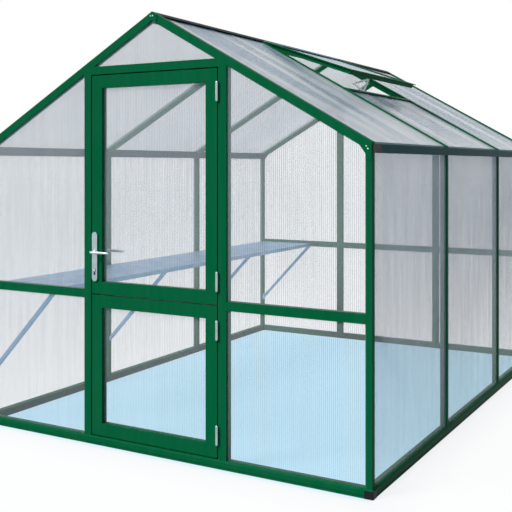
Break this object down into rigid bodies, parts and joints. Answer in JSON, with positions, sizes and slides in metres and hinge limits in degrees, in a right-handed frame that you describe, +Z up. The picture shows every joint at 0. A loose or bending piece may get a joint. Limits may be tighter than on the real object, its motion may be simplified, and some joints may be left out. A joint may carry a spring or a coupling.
{
  "type": "greenhouse",
  "caption": "Walk-in gable greenhouse with a green metal frame, twin-wall plastic sheets, a split door, an open roof window and a side shelf.",
  "frame": {"origin": "middle of the whole object's box, on the ground", "axes": "+X to the right seen from the door, +Y from the door to the rear gable, +Z up"},
  "size_m": [2.47, 3.425, 2.3081],
  "materials": {
    "frame_green": "satin green powder coat on aluminium profiles",
    "twin_wall_sheet": "clear twin-wall polycarbonate with upright flutes",
    "plain_aluminium": "mill finish",
    "satin_metal": "satin",
    "bright_metal": "polished",
    "black_plastic": "matt moulding"
  },
  "bodies": {
    "house": {"gable_sills": "frame_green", "side_sills": "frame_green", "corner_posts": "frame_green", "side_bars": "frame_green", "eave_beams": "frame_green", "ridge_beam": "frame_green", "gable_rafters": "frame_green", "roof_bars": "frame_green", "joint_plates": "frame_green", "door_posts": "frame_green", "door_header": "frame_green", "door_stops": "frame_green", "front_mid_rails": "frame_green", "rear_mullions": "frame_green", "rear_rails": "frame_green", "vent_sill_bar": "frame_green", "vent_side_rails": "frame_green", "vent_end_rails": "frame_green", "front_sheets": "twin_wall_sheet", "rear_sheets": "twin_wall_sheet", "left_side_sheets": "twin_wall_sheet", "right_side_sheets": "twin_wall_sheet", "left_roof_sheets": "twin_wall_sheet", "right_roof_sheets": "twin_wall_sheet", "vent_sheet": "twin_wall_sheet", "vent_hinge_rod": "plain_aluminium", "vent_stay": "plain_aluminium", "shelf_boards": "plain_aluminium", "shelf_rails": "plain_aluminium", "shelf_bearers": "plain_aluminium", "shelf_braces": "plain_aluminium", "corner_caps": "black_plastic", "frame_hinge_halves": "satin_metal"},
    "upper_leaf": {"upper_leaf_stiles": "frame_green", "upper_leaf_rails": "frame_green", "upper_leaf_sheet": "twin_wall_sheet", "upper_hinge_halves": "satin_metal", "lock_plates": "satin_metal", "lock_cylinder": "bright_metal"},
    "lower_leaf": {"lower_leaf_stiles": "frame_green", "lower_leaf_rails": "frame_green", "lower_leaf_sheet": "twin_wall_sheet", "lower_hinge_halves": "satin_metal"},
    "lever": {"levers": "satin_metal"}
  },
  "joints": [
    {"name": "upper_leaf_hinge", "type": "hinge", "parent": "house", "child": "upper_leaf", "pos_m": [0.403, -1.6655, 1.4], "axis": [0, 0, 1], "range_deg": [0, 160]},
    {"name": "lower_leaf_hinge", "type": "hinge", "parent": "house", "child": "lower_leaf", "pos_m": [0.403, -1.6655, 0.43], "axis": [0, 0, 1], "range_deg": [0, 160]},
    {"name": "lever_turn", "type": "hinge", "parent": "upper_leaf", "child": "lever", "pos_m": [-0.377, -1.6575, 1.04], "axis": [0, 1, 0], "range_deg": [0, 40], "stiffness_Nm_per_rad": 1, "springref_deg": -17.19}
  ]
}
